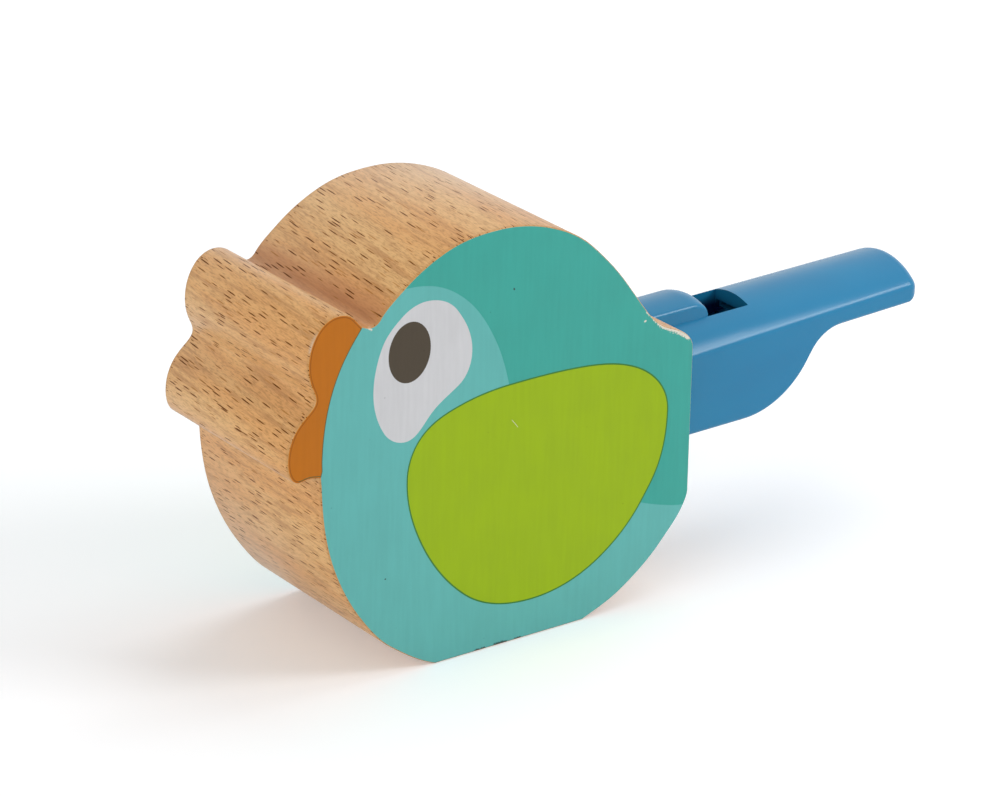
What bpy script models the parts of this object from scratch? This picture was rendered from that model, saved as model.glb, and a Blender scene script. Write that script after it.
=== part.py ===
"""Wooden bird whistle: a printed beech block with a blue moulded mouthpiece in its tail.

The whistle stands on the block's flat base. The origin is the middle of that base,
+X runs to the mouthpiece, -Y is one printed face and +Z is up. Sizes are in metres,
and the printed figure is drawn in millimetres.
"""
import math

import bmesh
import bpy
from mathutils import Vector
from mathutils.geometry import interpolate_bezier

JOIN = 1e-6

# Beech block
BLOCK_THICKNESS = 0.030
BLOCK_LENGTH = 0.0666
BLOCK_HEIGHT = 0.0606
RIM_ROUNDING = 0.0004
OUTLINE_STEPS = 6

# Round spigot of the mouthpiece, glued into a blind hole in the tail wall
FIT_GAP = 0.0003
SPIGOT_RADIUS = 0.0074
SPIGOT_LENGTH = 0.0150
SOCKET_END_GAP = 0.0015
AXIS_BELOW_SHOULDER = 0.0090
BORE_RADIUS = 0.0056
ROUND_STEPS = 64

# Outside of the mouthpiece, from the tail wall out to the tip
TAIL_LENGTH = 0.0483
TAIL_HALF_WIDTH = 0.00818
SIDE_TAPER = math.radians(1.1)
CROWN_ABOVE_AXIS = 0.0079
CROWN_PITCH = math.radians(1.4)
CROWN_RADIUS = 0.0100
SHOULDER_FILLET = 0.0015
KEEL_BELOW_AXIS = 0.0081
KEEL_PITCH = math.radians(0.5)
KEEL_FILLET = 0.0008
KEEL_RUN = 0.0158
KEEL_RADIUS = 0.0135
THROAT_RADIUS = 0.0070
THROAT_ANGLE = math.radians(57.0)
TIP_THICKNESS = 0.0059
UNDERSIDE_PITCH = math.radians(2.0)
TIP_ROUNDING = 0.0019

# Sound window, the raised lip block behind it and the windway in front of it
WINDOW_HALF_WIDTH = 0.00375
LIP_BLOCK_LENGTH = 0.01155
WINDOW_LENGTH = 0.00725
LIP_BLOCK_STEP = 0.0022
LIP_BLOCK_RADIUS = 0.0094
NOSE_LENGTH = 0.0029
NOSE_DROP = 0.0016
LIP_BLOCK_ROUNDING = 0.0004
LIP_ABOVE_AXIS = 0.0057
WINDWAY_HALF_WIDTH = 0.0034
WINDWAY_HEIGHT = 0.0012
CHAMBER_OVERRUN = 0.0008

# The bird's outline, drawn as knots of x, z and heading in degrees; it is scaled to the block's sizes
BROW = [(-24.6, 51.5, -22), (-23.1, 51.15, 8), (-21.9, 51.9, 54), (-18.2, 55.3, 39)]
CROWN = [(-18.2, 55.3, 39), (-11.2, 59.3, 21), (-2.6, 60.6, 0), (5.6, 59.1, -20), (12.6, 55.0, -43),
         (18.4, 48.7, -53), (21.5, 44.5, -53), (24.5, 41.3, -36), (27.5, 39.85, -26), (30.35, 36.6, -90)]
TAIL_WALL = [(30.35, 36.6, -90), (30.35, 15.4, -90), (29.7, 13.3, -117)]
RUMP = [(29.7, 13.3, -117), (25.8, 8.4, -132), (18.9, 2.85, -148), (12.4, 0.0, -159)]
CHEST = [(-12.5, 0.0, 159), (-19.7, 4.3, 144), (-25.0, 10.2, 125), (-29.0, 18.0, 110), (-31.1, 31.6, 91)]
BEAK = [(-31.1, 31.6, 165), (-32.9, 31.95, 180), (-34.4, 31.75, 180), (-35.9, 33.0, 112), (-36.25, 35.0, 90),
        (-35.1, 39.0, 57), (-33.0, 41.2, 41), (-31.9, 42.9, 92), (-32.55, 44.8, 111), (-33.05, 47.5, 90),
        (-31.6, 52.1, 53), (-28.3, 53.85, 0), (-25.9, 52.9, -46), (-24.6, 51.5, -40)]

# The printed borders inside the outline
BEAK_LINE = [(-31.1, 31.6, 38), (-30.68, 31.93, 38), (-30.62, 32.3, 100), (-30.75, 34.0, 91), (-30.0, 40.8, 77),
             (-27.6, 47.1, 61), (-24.6, 51.5, 53)]
FACE_LINE = [(-18.2, 55.3, 2), (-13.8, 54.85, -14), (-7.8, 51.4, -43), (-3.2, 44.7, -64), (-1.0, 38.2, -76)]
TAIL_LINE = [(29.7, 13.3, 178), (25.8, 14.1, 164), (22.0, 15.4, 158)]
WING_TOP = [(-1.0, 38.2, 2), (11.0, 38.1, -4), (20.9, 35.8, -27), (26.3, 28.2, -91), (25.0, 20.6, -111),
            (22.0, 15.4, -124)]
WING_BOTTOM = [(22.0, 15.4, -124), (14.9, 8.7, -148), (3.5, 5.45, 180), (-7.7, 8.9, 141), (-15.0, 18.2, 116),
               (-17.5, 28.3, 88), (-14.6, 34.5, 40), (-8.8, 37.1, 15), (-1.0, 38.2, 2)]
EYE = [(-14.6, 52.9, 0), (-9.7, 50.7, -52), (-7.15, 44.2, -92), (-9.3, 39.9, -146), (-13.4, 37.1, -137),
       (-17.7, 33.75, 180), (-21.2, 35.8, 122), (-22.9, 41.7, 90), (-21.6, 47.8, 67), (-18.4, 51.5, 38),
       (-14.6, 52.9, 0)]
PUPIL_CENTRE = (-17.2, 46.3)
PUPIL_RADII = (3.35, 4.25)
PUPIL_TILT = math.radians(-3.0)
PUPIL_STEPS = 36
DRAWN_LENGTH = 66.6
DRAWN_HEIGHT = 60.6

# Metres in one drawn millimetre, along and up
X_SCALE = BLOCK_LENGTH / DRAWN_LENGTH
Z_SCALE = BLOCK_HEIGHT / DRAWN_HEIGHT
WALL_X = TAIL_WALL[0][0] * X_SCALE
AXIS_Z = TAIL_WALL[0][1] * Z_SCALE - AXIS_BELOW_SHOULDER


def clear_scene():
    for thing in list(bpy.data.objects):
        bpy.data.objects.remove(thing)


def make_collection(name):
    collection = bpy.data.collections.new(name)
    bpy.context.scene.collection.children.link(collection)
    return collection


def make_material(name, color, roughness):
    material = bpy.data.materials.new(name)
    material.use_nodes = True
    shader = material.node_tree.nodes["Principled BSDF"]
    shader.inputs["Base Color"].default_value = (*color, 1.0)
    shader.inputs["Roughness"].default_value = roughness
    shader.inputs["Metallic"].default_value = 0.0
    material.diffuse_color = (*color, 1.0)
    return material


def add_object(name, data, collection):
    thing = bpy.data.objects.new(name, data)
    collection.objects.link(thing)
    return thing


def evaluated_mesh(thing):
    bpy.context.view_layer.update()
    return bpy.data.meshes.new_from_object(thing.evaluated_get(bpy.context.evaluated_depsgraph_get()))


def apply_modifiers(thing):
    """Keep the finished shape as the object's own mesh, with crisp edges and smooth rounds."""
    mesh = evaluated_mesh(thing)
    thing.modifiers.clear()
    thing.data = mesh
    mesh.shade_smooth()
    mesh.set_sharp_from_angle(angle=math.radians(32.0))


def boolean(thing, operation, other):
    modifier = thing.modifiers.new(operation.title() + " " + other.name, "BOOLEAN")
    modifier.operation = operation
    modifier.solver = "EXACT"
    modifier.object = other


def as_cutter(thing):
    thing.hide_render = True
    thing.display_type = "WIRE"
    return thing


# Drawing the printed figure

def draw(knots):
    """Points along smooth spans through the knots; two knots that turn evenly give an arc."""
    points = []
    for (x0, z0, h0), (x1, z1, h1) in zip(knots, knots[1:]):
        start = Vector((x0, z0, 0.0))
        end = Vector((x1, z1, 0.0))
        turn = math.remainder(math.radians(h1 - h0), math.tau)
        reach = (end - start).length * 2.0 / (3.0 * (1.0 + math.cos(turn / 2.0)))
        leave = Vector((math.cos(math.radians(h0)), math.sin(math.radians(h0)), 0.0)) * reach
        arrive = Vector((math.cos(math.radians(h1)), math.sin(math.radians(h1)), 0.0)) * reach
        points += interpolate_bezier(start, start + leave, end - arrive, end, OUTLINE_STEPS + 1)[:-1]
    points.append(Vector((knots[-1][0], knots[-1][1], 0.0)))
    return points


def ellipse(centre, radii, tilt, steps):
    points = []
    for step in range(steps):
        angle = math.tau * step / steps
        across = radii[0] * math.cos(angle)
        up = radii[1] * math.sin(angle)
        x = centre[0] + across * math.cos(tilt) - up * math.sin(tilt)
        z = centre[1] + across * math.sin(tilt) + up * math.cos(tilt)
        points.append(Vector((x, z, 0.0)))
    return points


def loop(*borders):
    """One closed outline from borders that follow each other; each starts where the last one ends."""
    points = []
    for border in borders:
        points += border[:-1]
    return points


def printed_fields():
    """The flat fields of colour that tile the bird's face, as material name and outlines."""
    crown = draw(CROWN) + draw(TAIL_WALL)[1:]
    belly = draw(RUMP) + draw(CHEST)
    beak_line = draw(BEAK_LINE)
    face_line = draw(FACE_LINE)
    tail_line = draw(TAIL_LINE)
    wing_top = draw(WING_TOP)
    wing_bottom = draw(WING_BOTTOM)
    eye = draw(EYE)[:-1]
    pupil = ellipse(PUPIL_CENTRE, PUPIL_RADII, PUPIL_TILT, PUPIL_STEPS)
    breast = loop(belly, beak_line, draw(BROW), face_line, wing_bottom[::-1], tail_line[::-1])
    back = loop(crown, tail_line, wing_top[::-1], face_line[::-1])
    return [
        ("print_breast", [breast, eye]),
        ("print_back", [back]),
        ("print_beak", [loop(draw(BEAK), beak_line[::-1])]),
        ("print_wing", [loop(wing_top, wing_bottom)]),
        ("print_eye", [eye, pupil]),
        ("print_pupil", [pupil]),
    ]


def flat_field(name, outlines, collection):
    """A filled flat curve; an outline inside another is a hole."""
    curve = bpy.data.curves.new(name, "CURVE")
    curve.dimensions = "2D"
    curve.fill_mode = "BOTH"
    for points in outlines:
        spline = curve.splines.new("POLY")
        spline.points.add(len(points) - 1)
        for place, point in zip(spline.points, points):
            place.co = (point.x * X_SCALE, point.y * Z_SCALE, 0.0, 1.0)
        spline.use_cyclic_u = True
    return add_object(name, curve, collection)


def build_block(parts, cutters, materials):
    """The block: its printed face, given the plank's thickness, with edges eased and a drilled socket."""
    names = list(materials)
    sheet = bmesh.new()
    for material_name, outlines in printed_fields():
        field = flat_field(material_name + "_field", outlines, cutters)
        mesh = evaluated_mesh(field)
        known = len(sheet.faces)
        sheet.from_mesh(mesh)
        sheet.faces.ensure_lookup_table()
        for face in sheet.faces[known:]:
            face.material_index = names.index(material_name)
        bpy.data.objects.remove(field)
        bpy.data.meshes.remove(mesh)
    bmesh.ops.remove_doubles(sheet, verts=sheet.verts, dist=JOIN)
    bmesh.ops.dissolve_limit(sheet, angle_limit=math.radians(0.5), use_dissolve_boundaries=False,
                             verts=sheet.verts, edges=sheet.edges, delimit={"MATERIAL"})
    mesh = bpy.data.meshes.new("wooden_body")
    sheet.to_mesh(mesh)
    sheet.free()
    for material in materials.values():
        mesh.materials.append(material)

    block = add_object("wooden_body", mesh, parts)
    block.rotation_euler = (math.radians(90.0), 0.0, 0.0)
    plank = block.modifiers.new("Plank thickness", "SOLIDIFY")
    plank.thickness = BLOCK_THICKNESS
    plank.offset = 0.0
    plank.material_offset_rim = -len(names)
    eased = block.modifiers.new("Eased rims", "BEVEL")
    eased.width = RIM_ROUNDING
    eased.segments = 2
    eased.use_clamp_overlap = False
    eased.limit_method = "ANGLE"
    eased.angle_limit = math.radians(80.0)

    depth = SPIGOT_LENGTH + SOCKET_END_GAP
    socket = add_rod("socket", SPIGOT_RADIUS + FIT_GAP, WALL_X - depth, WALL_X + depth, cutters)
    boolean(block, "DIFFERENCE", as_cutter(socket))
    apply_modifiers(block)
    return block


def add_rod(name, radius, start, end, collection):
    """A round rod along X on the whistle's axis."""
    rod = bmesh.new()
    bmesh.ops.create_cone(rod, cap_ends=True, segments=ROUND_STEPS, radius1=radius, radius2=radius,
                          depth=end - start)
    mesh = bpy.data.meshes.new(name)
    rod.to_mesh(mesh)
    rod.free()
    thing = add_object(name, mesh, collection)
    thing.rotation_euler = (0.0, math.radians(90.0), 0.0)
    thing.location = ((start + end) / 2.0, 0.0, AXIS_Z)
    return thing


def add_bar(name, start, end, half_width, low, high, collection):
    """A square bar along X; low and high are measured from the whistle's axis."""
    bar = bmesh.new()
    bmesh.ops.create_cube(bar, size=1.0)
    bmesh.ops.scale(bar, verts=bar.verts, vec=(end - start, 2.0 * half_width, high - low))
    mesh = bpy.data.meshes.new(name)
    bar.to_mesh(mesh)
    bar.free()
    thing = add_object(name, mesh, collection)
    thing.location = ((start + end) / 2.0, 0.0, AXIS_Z + (low + high) / 2.0)
    return thing


# The mouthpiece's outside: upright sections, one behind the other from the wall to the tip

def crown_height(x):
    return CROWN_ABOVE_AXIS + x * math.tan(CROWN_PITCH)


def half_width(x):
    return TAIL_HALF_WIDTH - x * math.tan(SIDE_TAPER)


def bottom_line():
    """The underside in side view: keel, hollow throat and mouthpiece, as x and height pairs."""
    keel_end = -KEEL_BELOW_AXIS + KEEL_RUN * math.tan(KEEL_PITCH)
    tip_under = crown_height(TAIL_LENGTH) - TIP_THICKNESS
    under_slope = math.tan(UNDERSIDE_PITCH)
    turned_x = (KEEL_RADIUS * (math.sin(THROAT_ANGLE) - math.sin(KEEL_PITCH))
                + THROAT_RADIUS * (math.sin(THROAT_ANGLE) - math.sin(UNDERSIDE_PITCH)))
    turned_z = (KEEL_RADIUS * (math.cos(KEEL_PITCH) - math.cos(THROAT_ANGLE))
                + THROAT_RADIUS * (math.cos(UNDERSIDE_PITCH) - math.cos(THROAT_ANGLE)))
    missing = tip_under - under_slope * (TAIL_LENGTH - KEEL_RUN - turned_x) - keel_end - turned_z
    climb = missing / (math.sin(THROAT_ANGLE) - under_slope * math.cos(THROAT_ANGLE))
    line = [(FIT_GAP, -KEEL_BELOW_AXIS + FIT_GAP * math.tan(KEEL_PITCH))]
    steps = 10
    for step in range(steps + 1):
        angle = KEEL_PITCH + (THROAT_ANGLE - KEEL_PITCH) * step / steps
        x = KEEL_RUN + KEEL_RADIUS * (math.sin(angle) - math.sin(KEEL_PITCH))
        z = keel_end + KEEL_RADIUS * (math.cos(KEEL_PITCH) - math.cos(angle))
        line.append((x, z))
    top_x = line[-1][0] + climb * math.cos(THROAT_ANGLE)
    top_z = line[-1][1] + climb * math.sin(THROAT_ANGLE)
    for step in range(steps + 1):
        angle = THROAT_ANGLE + (UNDERSIDE_PITCH - THROAT_ANGLE) * step / steps
        x = top_x + THROAT_RADIUS * (math.sin(THROAT_ANGLE) - math.sin(angle))
        z = top_z + THROAT_RADIUS * (math.cos(angle) - math.cos(THROAT_ANGLE))
        line.append((x, z))
    return line


def half_section(x, bottom, inset):
    """Half of the outline at x, from the middle of the bottom to the middle of the crown."""
    width = half_width(x) - inset
    top = crown_height(x) - inset
    low = bottom + inset
    radius = CROWN_RADIUS - inset
    points = [Vector((x, 0.0, low))]
    corner = KEEL_FILLET
    for step in range(5):
        angle = math.pi / 2.0 * step / 4
        points.append(Vector((x, -(width - corner + corner * math.sin(angle)),
                              low + corner * (1.0 - math.cos(angle)))))
    fillet = SHOULDER_FILLET - inset * SHOULDER_FILLET / CROWN_RADIUS
    centre_y = width - fillet
    lean = math.asin(centre_y / (radius - fillet))
    centre_z = top - radius + (radius - fillet) * math.cos(lean)
    for step in range(6):
        angle = math.pi / 2.0 - (math.pi / 2.0 - lean) * step / 5
        points.append(Vector((x, -(centre_y + fillet * math.sin(angle)), centre_z + fillet * math.cos(angle))))
    for step in range(1, 9):
        angle = lean * (1.0 - step / 8)
        points.append(Vector((x, -radius * math.sin(angle), top - radius + radius * math.cos(angle))))
    return points


def outer_sections():
    line = bottom_line()
    round_start = TAIL_LENGTH - TIP_ROUNDING
    under_slope = math.tan(UNDERSIDE_PITCH)
    sections = [half_section(x, bottom, 0.0) for x, bottom in line]
    last_x, last_bottom = line[-1]
    steps = 6
    for step in range(steps + 1):
        angle = math.pi / 2.0 * step / steps
        x = round_start + TIP_ROUNDING * math.sin(angle)
        inset = TIP_ROUNDING * (1.0 - math.cos(angle))
        sections.append(half_section(x, last_bottom + (x - last_x) * under_slope, inset))
    return sections


def add_outer_shape(collection):
    """A loft between the sections on one side, mirrored to the other."""
    loft = bmesh.new()
    rings = [[loft.verts.new(point) for point in section] for section in outer_sections()]
    for ring, following in zip(rings, rings[1:]):
        for a, b, c, d in zip(ring, following, following[1:], ring[1:]):
            loft.faces.new((a, b, c, d))
    loft.faces.new(rings[0])
    loft.faces.new(rings[-1][::-1])
    bmesh.ops.triangulate(loft, faces=loft.faces)
    mesh = bpy.data.meshes.new("whistle_mouthpiece")
    loft.to_mesh(mesh)
    loft.free()
    thing = add_object("whistle_mouthpiece", mesh, collection)
    thing.location = (WALL_X, 0.0, AXIS_Z)
    mirror = thing.modifiers.new("Other side", "MIRROR")
    mirror.use_axis = (False, True, False)
    mirror.merge_threshold = JOIN
    return thing


def add_lip_block(collection):
    """The raised block behind the sound window: a domed bar that climbs with the crown to a rounded nose."""
    corner = LIP_BLOCK_ROUNDING
    centre_y = WINDOW_HALF_WIDTH - corner
    lean = math.asin(centre_y / (LIP_BLOCK_RADIUS - corner))
    corner_z = (LIP_BLOCK_RADIUS - corner) * math.cos(lean) - LIP_BLOCK_RADIUS
    half = []
    for step in range(4):
        angle = math.pi / 2.0 - (math.pi / 2.0 - lean) * step / 3
        half.append((centre_y + corner * math.sin(angle), corner_z + corner * math.cos(angle)))
    for step in range(1, 6):
        angle = lean * (1.0 - step / 5)
        half.append((LIP_BLOCK_RADIUS * math.sin(angle), LIP_BLOCK_RADIUS * (math.cos(angle) - 1.0)))
    dome = [(-y, z) for y, z in half] + half[-2::-1]

    stations = [(FIT_GAP, 0.0)]
    steps = 6
    for step in range(steps + 1):
        angle = math.pi / 2.0 * step / steps
        x = LIP_BLOCK_LENGTH - NOSE_LENGTH * (1.0 - math.sin(angle))
        stations.append((x, NOSE_DROP * (1.0 - math.cos(angle))))
    bar = bmesh.new()
    rings = []
    for x, drop in stations:
        top = crown_height(x) + LIP_BLOCK_STEP - drop
        outline = [(-WINDOW_HALF_WIDTH, BORE_RADIUS)] + [(y, top + z) for y, z in dome]
        outline.append((WINDOW_HALF_WIDTH, BORE_RADIUS))
        rings.append([bar.verts.new((x, y, z)) for y, z in outline])
    for ring, following in zip(rings, rings[1:]):
        for index, corner_point in enumerate(ring):
            bar.faces.new((ring[index - 1], following[index - 1], following[index], corner_point))
    bar.faces.new(rings[0])
    bar.faces.new(rings[-1])
    bmesh.ops.recalc_face_normals(bar, faces=bar.faces)
    bmesh.ops.triangulate(bar, faces=bar.faces)
    mesh = bpy.data.meshes.new("lip_block")
    bar.to_mesh(mesh)
    bar.free()
    thing = add_object("lip_block", mesh, collection)
    thing.location = (WALL_X, 0.0, AXIS_Z)
    return thing


def build_mouthpiece(parts, cutters, material):
    """The moulding: outside, spigot and lip block in one, with the bore, window and windway cut out."""
    mouthpiece = add_outer_shape(parts)
    spigot_start = WALL_X - SPIGOT_LENGTH
    window_start = WALL_X + LIP_BLOCK_LENGTH
    window_end = window_start + WINDOW_LENGTH
    chamber_end = window_end + CHAMBER_OVERRUN
    tip = WALL_X + TAIL_LENGTH
    above = CROWN_ABOVE_AXIS + 2.0 * LIP_BLOCK_RADIUS

    joined = [
        add_rod("spigot", SPIGOT_RADIUS, spigot_start, WALL_X + SPIGOT_RADIUS, cutters),
        add_lip_block(cutters),
    ]
    cut = [
        add_rod("bore", BORE_RADIUS, spigot_start - SPIGOT_RADIUS, chamber_end, cutters),
        add_bar("lip_channel", spigot_start - SPIGOT_RADIUS, window_end, WINDOW_HALF_WIDTH,
                0.0, LIP_ABOVE_AXIS, cutters),
        add_bar("sound_window", window_start, window_end, WINDOW_HALF_WIDTH, 0.0, above, cutters),
        add_bar("windway", window_end - CHAMBER_OVERRUN, tip + TIP_ROUNDING, WINDWAY_HALF_WIDTH,
                LIP_ABOVE_AXIS - WINDWAY_HEIGHT / 2.0, LIP_ABOVE_AXIS + WINDWAY_HEIGHT / 2.0, cutters),
    ]
    for thing in joined:
        boolean(mouthpiece, "UNION", as_cutter(thing))
    for thing in cut:
        boolean(mouthpiece, "DIFFERENCE", as_cutter(thing))
    mouthpiece.data.materials.append(material)
    apply_modifiers(mouthpiece)
    return mouthpiece


clear_scene()
parts = make_collection("bird_whistle")
cutters = make_collection("cutters")
block_materials = {
    "beech": make_material("beech", (0.59, 0.36, 0.17), 0.55),
    "print_breast": make_material("print_breast", (0.133, 0.445, 0.423), 0.45),
    "print_back": make_material("print_back", (0.060, 0.361, 0.309), 0.45),
    "print_beak": make_material("print_beak", (0.485, 0.150, 0.019), 0.45),
    "print_wing": make_material("print_wing", (0.309, 0.445, 0.021), 0.45),
    "print_eye": make_material("print_eye", (0.565, 0.572, 0.597), 0.45),
    "print_pupil": make_material("print_pupil", (0.082, 0.065, 0.047), 0.45),
}
blue_plastic = make_material("blue_plastic", (0.047, 0.231, 0.423), 0.30)

base = add_object("base_centre", None, parts)
block = build_block(parts, cutters, block_materials)
mouthpiece = build_mouthpiece(parts, cutters, blue_plastic)
block.parent = base
mouthpiece.parent = base
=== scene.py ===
import math

import bmesh
import bpy
from mathutils import Matrix, Vector
from mathutils.geometry import interpolate_bezier


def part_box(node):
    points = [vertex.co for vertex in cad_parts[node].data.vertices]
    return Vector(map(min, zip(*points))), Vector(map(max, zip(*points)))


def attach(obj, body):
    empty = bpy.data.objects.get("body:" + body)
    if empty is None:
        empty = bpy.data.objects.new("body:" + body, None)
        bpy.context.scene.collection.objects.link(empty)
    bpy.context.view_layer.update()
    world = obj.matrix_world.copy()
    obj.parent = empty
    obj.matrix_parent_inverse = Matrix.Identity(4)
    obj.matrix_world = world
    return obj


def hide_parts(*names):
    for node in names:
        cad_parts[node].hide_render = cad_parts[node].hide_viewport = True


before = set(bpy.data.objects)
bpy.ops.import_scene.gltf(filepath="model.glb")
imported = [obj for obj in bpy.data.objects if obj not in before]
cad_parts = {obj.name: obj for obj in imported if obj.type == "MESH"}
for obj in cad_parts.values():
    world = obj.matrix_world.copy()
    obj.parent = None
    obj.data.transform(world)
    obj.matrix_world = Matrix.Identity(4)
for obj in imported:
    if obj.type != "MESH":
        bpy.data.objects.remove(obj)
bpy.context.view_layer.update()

# The beech block. A long bar is moulded to the bird's outline and sliced, so that the two flat
# faces are end grain and the grain runs from one to the other. Each flat face is screen printed,
# its rims are eased, and the tail wall is drilled for the mouthpiece.

MM = 0.001
SPAN_STEPS = 14
WELD = 1e-6

BROW = [(-24.6, 51.5, -22), (-23.1, 51.15, 8), (-21.9, 51.9, 54), (-18.2, 55.3, 39)]
CROWN = [(-18.2, 55.3, 39), (-11.2, 59.3, 21), (-2.6, 60.6, 0), (5.6, 59.1, -20), (12.6, 55.0, -43),
         (18.4, 48.7, -53), (21.5, 44.5, -53), (24.5, 41.3, -36), (27.5, 39.85, -26), (30.35, 36.6, -90)]
TAIL_WALL = [(30.35, 36.6, -90), (30.35, 15.4, -90), (29.7, 13.3, -117)]
RUMP = [(29.7, 13.3, -117), (25.8, 8.4, -132), (18.9, 2.85, -148), (12.4, 0.0, -159)]
CHEST = [(-12.5, 0.0, 159), (-19.7, 4.3, 144), (-25.0, 10.2, 125), (-29.0, 18.0, 110), (-31.1, 31.6, 91)]
BEAK = [(-31.1, 31.6, 165), (-32.9, 31.95, 180), (-34.4, 31.75, 180), (-35.9, 33.0, 112), (-36.25, 35.0, 90),
        (-35.1, 39.0, 57), (-33.0, 41.2, 41), (-31.9, 42.9, 92), (-32.55, 44.8, 111), (-33.05, 47.5, 90),
        (-31.6, 52.1, 53), (-28.3, 53.85, 0), (-25.9, 52.9, -46), (-24.6, 51.5, -40)]
BEAK_LINE = [(-31.1, 31.6, 60), (-30.85, 34.0, 88), (-30.0, 40.8, 77), (-27.6, 47.1, 61), (-24.6, 51.5, 53)]
FACE_LINE = [(-18.2, 55.3, 2), (-13.8, 54.85, -14), (-7.8, 51.4, -43), (-3.2, 44.7, -64), (-1.0, 38.2, -76)]
TAIL_LINE = [(29.7, 13.3, 178), (25.8, 14.1, 164), (22.0, 15.4, 158)]
WING_TOP = [(-1.0, 38.2, 2), (11.0, 38.1, -4), (20.9, 35.8, -27), (26.3, 28.2, -91), (25.0, 20.6, -111),
            (22.0, 15.4, -124)]
WING_BOTTOM = [(22.0, 15.4, -124), (14.9, 8.7, -148), (3.5, 5.45, 180), (-7.7, 8.9, 141), (-15.0, 18.2, 116),
               (-17.5, 28.3, 88), (-14.6, 34.5, 40), (-8.8, 37.1, 15), (-1.0, 38.2, 2)]
EYE = [(-14.6, 52.9, 0), (-9.7, 50.7, -52), (-7.15, 44.2, -92), (-9.3, 39.9, -146), (-13.4, 37.1, -137),
       (-17.7, 33.75, 180), (-21.2, 35.8, 122), (-22.9, 41.7, 90), (-21.6, 47.8, 67), (-18.4, 51.5, 38),
       (-14.6, 52.9, 0)]
PUPIL_CENTRE = (-17.2, 46.3)
PUPIL_RADII = (3.35, 4.25)
PUPIL_TILT = math.radians(-3.0)
DRAWN_LENGTH = 66.6
DRAWN_HEIGHT = 60.6

block_low, block_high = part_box("wooden_body")
x_scale = (block_high.x - block_low.x) / DRAWN_LENGTH
z_scale = (block_high.z - block_low.z) / DRAWN_HEIGHT


def draw(knots):
    """Points along smooth spans through the knots, which are x, height and heading in degrees."""
    points = []
    for (x0, z0, h0), (x1, z1, h1) in zip(knots, knots[1:]):
        start = Vector((x0, z0, 0.0))
        end = Vector((x1, z1, 0.0))
        turn = math.remainder(math.radians(h1 - h0), math.tau)
        reach = (end - start).length * 2.0 / (3.0 * (1.0 + math.cos(turn / 2.0)))
        leave = Vector((math.cos(math.radians(h0)), math.sin(math.radians(h0)), 0.0)) * reach
        arrive = Vector((math.cos(math.radians(h1)), math.sin(math.radians(h1)), 0.0)) * reach
        points += interpolate_bezier(start, start + leave, end - arrive, end, SPAN_STEPS + 1)[:-1]
    points.append(Vector((knots[-1][0], knots[-1][1], 0.0)))
    return points


def ellipse(centre, radii, tilt, steps):
    turn = Matrix.Rotation(tilt, 3, "Z")
    points = []
    for step in range(steps):
        angle = math.tau * step / steps
        spoke = Vector((radii[0] * math.cos(angle), radii[1] * math.sin(angle), 0.0))
        points.append(Vector((centre[0], centre[1], 0.0)) + turn @ spoke)
    return points


def loop(*borders):
    """One closed outline from borders that follow each other."""
    return [point for border in borders for point in border[:-1]]


def shifted(points, distance, closed):
    """The same line moved to its left by a distance."""
    moved = []
    last = len(points) - 1
    for index, point in enumerate(points):
        before = points[index - 1] if closed or index > 0 else point
        after = points[(index + 1) % len(points)] if closed or index < last else point
        along = (after - before).normalized()
        moved.append(point + Vector((-along.y, along.x, 0.0)) * distance)
    return moved


def add_fill(sheet, outlines, material_index):
    """One flat field of colour; an outline inside another is a hole."""
    curve = bpy.data.curves.new("field", "CURVE")
    curve.dimensions = "2D"
    curve.fill_mode = "BOTH"
    for points in outlines:
        spline = curve.splines.new("POLY")
        spline.points.add(len(points) - 1)
        for place, point in zip(spline.points, points):
            place.co = (point.x * MM, point.y * MM, 0.0, 1.0)
        spline.use_cyclic_u = True
    carrier = bpy.data.objects.new("field", curve)
    mesh = carrier.to_mesh()
    known = len(sheet.faces)
    sheet.from_mesh(mesh)
    sheet.faces.ensure_lookup_table()
    for face in sheet.faces[known:]:
        face.material_index = material_index
    carrier.to_mesh_clear()
    bpy.data.objects.remove(carrier)
    bpy.data.curves.remove(curve)


def clear_of_rim(points, distance):
    """The line with no points near its two ends, where the rim's rounding takes over."""
    ends = (points[0], points[-1])
    inner = [point for point in points[1:-1] if min((point - end).length for end in ends) > distance]
    return [points[0]] + inner + [points[-1]]


WING_TRAP_WIDTH = 0.22
RIM_CLEARANCE = 0.9
PUPIL_STEPS = 72

crown = draw(CROWN) + draw(TAIL_WALL)[1:]
belly = draw(RUMP) + draw(CHEST)
beak_edge = draw(BEAK)
beak_line = clear_of_rim(draw(BEAK_LINE), RIM_CLEARANCE)
face_line = clear_of_rim(draw(FACE_LINE), RIM_CLEARANCE)
tail_line = clear_of_rim(draw(TAIL_LINE), RIM_CLEARANCE)
wing_top = draw(WING_TOP)
wing_bottom = draw(WING_BOTTOM)
wing_edge = loop(wing_top, wing_bottom)
wing_inner = shifted(wing_edge, -WING_TRAP_WIDTH, True)
eye_edge = draw(EYE)[:-1]
pupil_edge = ellipse(PUPIL_CENTRE, PUPIL_RADII, PUPIL_TILT, PUPIL_STEPS)

BLOCK_FINISHES = ["beech", "breast", "back", "beak", "beak_trap", "wing", "wing_trap", "eye", "pupil"]
breast_edge = loop(belly, beak_line, draw(BROW), face_line, wing_bottom[::-1], tail_line[::-1])
field_outlines = [
    ("breast", [breast_edge, eye_edge]),
    ("back", [loop(crown, tail_line, wing_top[::-1], face_line[::-1])]),
    ("beak", [loop(beak_edge, beak_line[::-1])]),
    ("wing_trap", [wing_edge, wing_inner]),
    ("wing", [wing_inner]),
    ("eye", [eye_edge, pupil_edge]),
    ("pupil", [pupil_edge]),
]

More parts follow.
